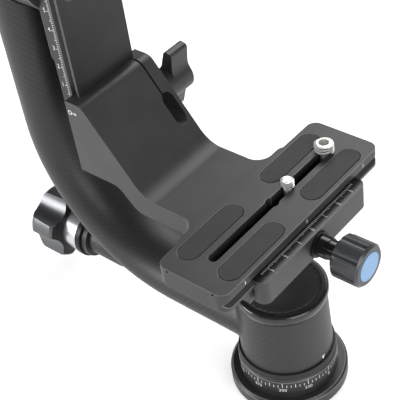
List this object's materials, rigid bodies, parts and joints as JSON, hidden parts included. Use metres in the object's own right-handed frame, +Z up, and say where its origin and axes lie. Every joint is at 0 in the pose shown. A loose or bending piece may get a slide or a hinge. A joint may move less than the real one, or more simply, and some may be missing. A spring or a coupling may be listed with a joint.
{
  "type": "gimbal tripod head",
  "caption": "Side-mount gimbal head: pan base, bent carbon arm, tilting swing bar, height-adjustable cradle with a screw clamp and a slotted lens plate.",
  "frame": {"origin": "centre of the foot's underside, at the mouth of the tripod thread, on the pan axis", "axes": "+Z up along the pan axis, +X from the arm's upright towards the clamp knob, +Y along the lens plate"},
  "size_m": [0.2353, 0.117, 0.239],
  "materials": {
    "arm_carbon": "satin clear coat over fine twill carbon fibre",
    "cradle_metal": "black anodised, bead blasted",
    "jaw_metal": "black anodised, bead blasted",
    "bar_metal": "black anodised, bead blasted",
    "plate_metal": "black anodised, bead blasted",
    "pad_rubber": "ribbed rubber",
    "hub_metal": "black anodised, turned",
    "ring_metal": "grey anodised, turned",
    "cap_metal": "black anodised, turned",
    "collar_metal": "black anodised, turned",
    "foot_metal": "black anodised, turned",
    "seal_rubber": "smooth",
    "housing_metal": "turned, bare",
    "spindle_metal": "turned, bare",
    "insert_brass": "turned",
    "bearing_steel": "ground",
    "ball_steel": "polished",
    "screw_steel": "bright",
    "dark_steel": "black oxide",
    "washer_nylon": "smooth nylon",
    "lock_knob_gloss": "glossy moulded",
    "knob_rubber": "soft moulded grip",
    "wing_metal": "black anodised",
    "clamp_knob_metal": "black anodised, fluted",
    "disc_blue": "pale blue anodised",
    "badge_metal": "spun, bare of marks",
    "friction_fibre": "smooth fibre",
    "pad_polymer": "smooth acetal"
  },
  "bodies": {
    "base": {"base_foot": "foot_metal", "tripod_insert": "insert_brass", "foot_screws": "dark_steel", "spindle": "spindle_metal", "spindle_nut": "dark_steel", "pan_collar": "collar_metal", "seal_ring": "seal_rubber", "pan_inner_races": "bearing_steel"},
    "arm": {"main_arm": "arm_carbon", "pan_housing": "housing_metal", "pan_outer_races": "bearing_steel", "pan_balls": "ball_steel", "pan_cap": "cap_metal", "lock_bush": "ring_metal", "tilt_housing": "housing_metal", "tilt_outer_races": "bearing_steel", "tilt_balls": "ball_steel", "friction_disc": "friction_fibre", "tilt_end_plate": "hub_metal", "end_plate_screws": "dark_steel"},
    "pan_brake": {"brake_pad": "pad_polymer", "lock_washer": "washer_nylon"},
    "pan_lock": {"lock_knob": "lock_knob_gloss", "lock_rod": "dark_steel"},
    "swing": {"swing_bar": "bar_metal", "swing_hub": "hub_metal", "tilt_shaft": "spindle_metal", "tilt_inner_races": "bearing_steel", "bar_screws": "dark_steel", "stop_screw": "dark_steel"},
    "tilt_thrust": {"thrust_washer": "washer_nylon"},
    "tilt_lock": {"tilt_knob": "knob_rubber", "tilt_knob_insert": "insert_brass", "tilt_knob_disc": "badge_metal"},
    "cradle": {"cradle": "cradle_metal"},
    "cradle_thrust": {"cradle_washer": "washer_nylon"},
    "cradle_lock": {"cradle_knob": "wing_metal", "cradle_stud": "dark_steel"},
    "jaw": {"clamp_jaw": "jaw_metal", "guide_pins": "bearing_steel", "clamp_washer": "washer_nylon"},
    "clamp_lock": {"clamp_knob": "clamp_knob_metal", "clamp_screw": "dark_steel", "knob_disc": "disc_blue"},
    "plate": {"lens_plate": "plate_metal", "plate_pads": "pad_rubber", "stop_pins": "dark_steel"},
    "small_slider": {"small_screw_washer": "washer_nylon"},
    "small_screw": {"lens_screw_small": "screw_steel"},
    "large_slider": {"large_screw_washer": "washer_nylon"},
    "large_screw": {"lens_screw_large": "screw_steel"}
  },
  "joints": [
    {"name": "pan", "type": "hinge", "parent": "base", "child": "arm", "pos_m": [0, 0, 0.035], "axis": [0, 0, 1], "continuous": true},
    {"name": "pan_lock_travel", "type": "slide", "parent": "arm", "child": "pan_brake", "axis": [-1, 0, 0], "range_m": [0, 0.0008]},
    {"name": "pan_lock_turn", "type": "hinge", "parent": "pan_brake", "child": "pan_lock", "pos_m": [-0.15, 0, 0.0285], "axis": [-1, 0, 0], "range_deg": [0, 360]},
    {"name": "tilt", "type": "hinge", "parent": "arm", "child": "swing", "pos_m": [-0.115, 0, 0.212], "axis": [1, 0, 0], "continuous": true},
    {"name": "tilt_lock_travel", "type": "slide", "parent": "swing", "child": "tilt_thrust", "axis": [-1, 0, 0], "range_m": [0, 0.00125]},
    {"name": "tilt_lock_turn", "type": "hinge", "parent": "tilt_thrust", "child": "tilt_lock", "pos_m": [-0.17, 0, 0.212], "axis": [-1, 0, 0], "range_deg": [0, 360]},
    {"name": "height", "type": "slide", "parent": "swing", "child": "cradle", "axis": [0, 0, 1], "range_m": [-0.008, 0.06]},
    {"name": "cradle_lock_travel", "type": "slide", "parent": "cradle", "child": "cradle_thrust", "axis": [0, 1, 0], "range_m": [0, 0.0008]},
    {"name": "cradle_lock_turn", "type": "hinge", "parent": "cradle_thrust", "child": "cradle_lock", "pos_m": [-0.0902, 0.04, 0.1272], "axis": [0, 1, 0], "range_deg": [0, 360]},
    {"name": "jaw_slide", "type": "slide", "parent": "cradle", "child": "jaw", "axis": [1, 0, 0], "range_m": [0, 0.003]},
    {"name": "clamp_turn", "type": "hinge", "parent": "jaw", "child": "clamp_lock", "pos_m": [0.04, 0, 0.1016], "axis": [1, 0, 0], "range_deg": [0, 1080]},
    {"name": "plate_slide", "type": "slide", "parent": "cradle", "child": "plate", "axis": [0, 1, 0], "range_m": [-0.011, 0.011]},
    {"name": "small_screw_slide", "type": "slide", "parent": "plate", "child": "small_slider", "axis": [0, 1, 0], "range_m": [-0.0535, 0.007]},
    {"name": "small_screw_turn", "type": "hinge", "parent": "small_slider", "child": "small_screw", "pos_m": [0, 0.012, 0.112], "axis": [0, 0, 1], "continuous": true},
    {"name": "large_screw_slide", "type": "slide", "parent": "plate", "child": "large_slider", "axis": [0, 1, 0], "range_m": [-0.0068, 0.0007]},
    {"name": "large_screw_turn", "type": "hinge", "parent": "large_slider", "child": "large_screw", "pos_m": [0, 0.041, 0.112], "axis": [0, 0, 1], "continuous": true}
  ],
  "couplings": [
    {"joint": "pan_lock_turn", "follows": "pan_lock_travel", "rad_per_m": 7854},
    {"joint": "tilt_lock_turn", "follows": "tilt_lock_travel", "rad_per_m": 5026.5},
    {"joint": "cradle_lock_turn", "follows": "cradle_lock_travel", "rad_per_m": 7854},
    {"joint": "clamp_turn", "follows": "jaw_slide", "rad_per_m": 6283.2}
  ]
}
